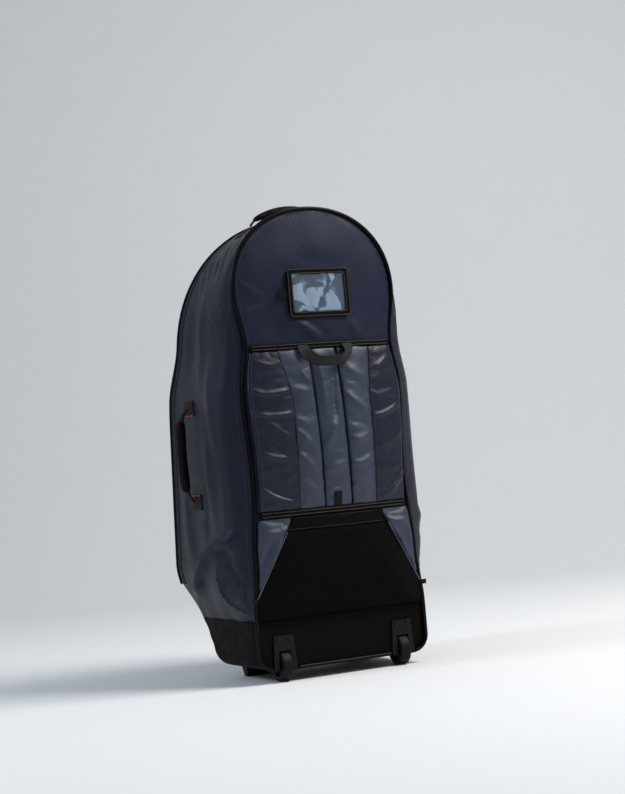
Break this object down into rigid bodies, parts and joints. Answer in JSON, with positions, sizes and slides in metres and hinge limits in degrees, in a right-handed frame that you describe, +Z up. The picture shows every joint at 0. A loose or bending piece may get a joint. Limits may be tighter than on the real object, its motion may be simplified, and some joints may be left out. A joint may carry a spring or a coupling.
{
  "type": "wheeled snowboard travel bag",
  "caption": "Upright arched gear bag with padded harness and lumbar pad, moulded wheel base, hinged zip-edged front door, webbing handles and an ID window.",
  "frame": {"origin": "on the ground, under the middle of the bag's bounding box", "axes": "+Z up, -Y towards the back panel with the harness, +X to the right seen from the harness side"},
  "size_m": [0.534, 0.3865, 0.9997],
  "materials": {
    "shell_fabric": "coated polyester, satin",
    "back_fabric": "ribbed polyester weave",
    "pad_fabric": "shiny coated nylon over foam",
    "base_fabric": "coated tarpaulin, matt black",
    "mesh": "padded air mesh, black",
    "webbing": "woven polypropylene webbing",
    "piping": "covered cord",
    "grip_sleeve": "soft tubular sleeve",
    "foam": "closed-cell foam",
    "board": "polyethylene sheet",
    "moulding": "textured polypropylene",
    "tyre": "soft polyurethane",
    "steel": "zinc-plated steel",
    "aluminium": "mill finish",
    "clear_vinyl": "clear flexible vinyl",
    "card": "blank card",
    "zip_metal": "black enamel"
  },
  "bodies": {
    "bag": {"left_side_gusset": "shell_fabric", "right_side_gusset": "shell_fabric", "top_gusset": "shell_fabric", "lower_front_panel": "shell_fabric", "back_panel": "back_fabric", "right_shoulder_strap": "pad_fabric", "left_shoulder_strap": "pad_fabric", "right_back_pad": "pad_fabric", "left_back_pad": "pad_fabric", "spine_sleeve": "pad_fabric", "right_lumbar_wing": "pad_fabric", "left_lumbar_wing": "pad_fabric", "base_cover": "base_fabric", "lumbar_band": "base_fabric", "lumbar_mesh_pad": "mesh", "body_zip_tape": "webbing", "spine_tab": "webbing", "upper_harness_band": "webbing", "lower_harness_band": "webbing", "strap_anchors": "webbing", "id_window_frame": "webbing", "top_handle_patches": "webbing", "right_side_handle_patches": "webbing", "left_side_handle_patches": "webbing", "inner_tie_straps": "webbing", "back_piping": "piping", "back_foam": "foam", "back_board": "board", "right_wheel_housing": "moulding", "left_wheel_housing": "moulding", "base_tray": "moulding", "front_feet": "moulding", "right_axle": "steel", "left_axle": "steel", "housing_screws": "steel", "foot_screws": "steel", "back_stays": "aluminium", "id_window_pane": "clear_vinyl"},
    "door": {"door_panel": "shell_fabric", "door_border": "shell_fabric", "door_zip_tape": "webbing", "door_piping": "piping"},
    "left_wheel": {"left_wheel_bearings": "steel", "left_wheel_hub": "moulding", "left_tyre": "tyre"},
    "right_wheel": {"right_wheel_bearings": "steel", "right_wheel_hub": "moulding", "right_tyre": "tyre"},
    "top_handle": {"top_handle_webbing": "webbing", "top_handle_grip": "grip_sleeve"},
    "left_side_handle": {"left_side_handle_webbing": "webbing", "left_side_handle_grip": "grip_sleeve"},
    "right_side_handle": {"right_side_handle_webbing": "webbing", "right_side_handle_grip": "grip_sleeve"},
    "grab_loop": {"grab_loop": "webbing"},
    "id_card": {"id_card": "card"},
    "zip_slider_lower": {"zip_slider_lower": "zip_metal"},
    "zip_slider_upper": {"zip_slider_upper": "zip_metal"},
    "zip_puller_lower": {"zip_puller_lower": "zip_metal"},
    "zip_puller_upper": {"zip_puller_upper": "zip_metal"}
  },
  "joints": [
    {"name": "front_door_hinge", "type": "hinge", "parent": "bag", "child": "door", "pos_m": [0, 0.192, 0.204], "axis": [-1, 0, 0], "range_deg": [0, 100]},
    {"name": "left_wheel_spin", "type": "hinge", "parent": "bag", "child": "left_wheel", "pos_m": [-0.139, -0.124, 0.033], "axis": [1, 0, 0], "continuous": true},
    {"name": "right_wheel_spin", "type": "hinge", "parent": "bag", "child": "right_wheel", "pos_m": [0.139, -0.124, 0.033], "axis": [1, 0, 0], "continuous": true},
    {"name": "top_handle_swing", "type": "hinge", "parent": "bag", "child": "top_handle", "pos_m": [0, -0.052, 0.95909], "axis": [1, 0, 0], "range_deg": [-20, 20]},
    {"name": "left_side_handle_swing", "type": "hinge", "parent": "bag", "child": "left_side_handle", "pos_m": [-0.2358, 0.037, 0.483], "axis": [0, 0, 1], "range_deg": [-60, 60]},
    {"name": "right_side_handle_swing", "type": "hinge", "parent": "bag", "child": "right_side_handle", "pos_m": [0.2358, 0.037, 0.483], "axis": [0, 0, 1], "range_deg": [-60, 60]},
    {"name": "grab_loop_lift", "type": "hinge", "parent": "bag", "child": "grab_loop", "pos_m": [0, -0.17057, 0.691], "axis": [-1, 0, 0], "range_deg": [0, 120]},
    {"name": "id_card_slide", "type": "slide", "parent": "bag", "child": "id_card", "axis": [-1, 0, 0], "range_m": [0, 0.1]},
    {"name": "zip_slide_lower", "type": "slide", "parent": "bag", "child": "zip_slider_lower", "axis": [0, 0.105, -0.9945], "range_m": [0, 0.2]},
    {"name": "zip_slide_upper", "type": "slide", "parent": "bag", "child": "zip_slider_upper", "axis": [0, -0.105, 0.9945], "range_m": [0, 0.06]},
    {"name": "zip_puller_lower_swing", "type": "hinge", "parent": "zip_slider_lower", "child": "zip_puller_lower", "pos_m": [0.237, 0.14314, 0.43], "axis": [0, -1, 0], "range_deg": [0, 150]},
    {"name": "zip_puller_upper_swing", "type": "hinge", "parent": "zip_slider_upper", "child": "zip_puller_upper", "pos_m": [0.237, 0.13839, 0.475], "axis": [0, -1, 0], "range_deg": [0, 150]}
  ]
}
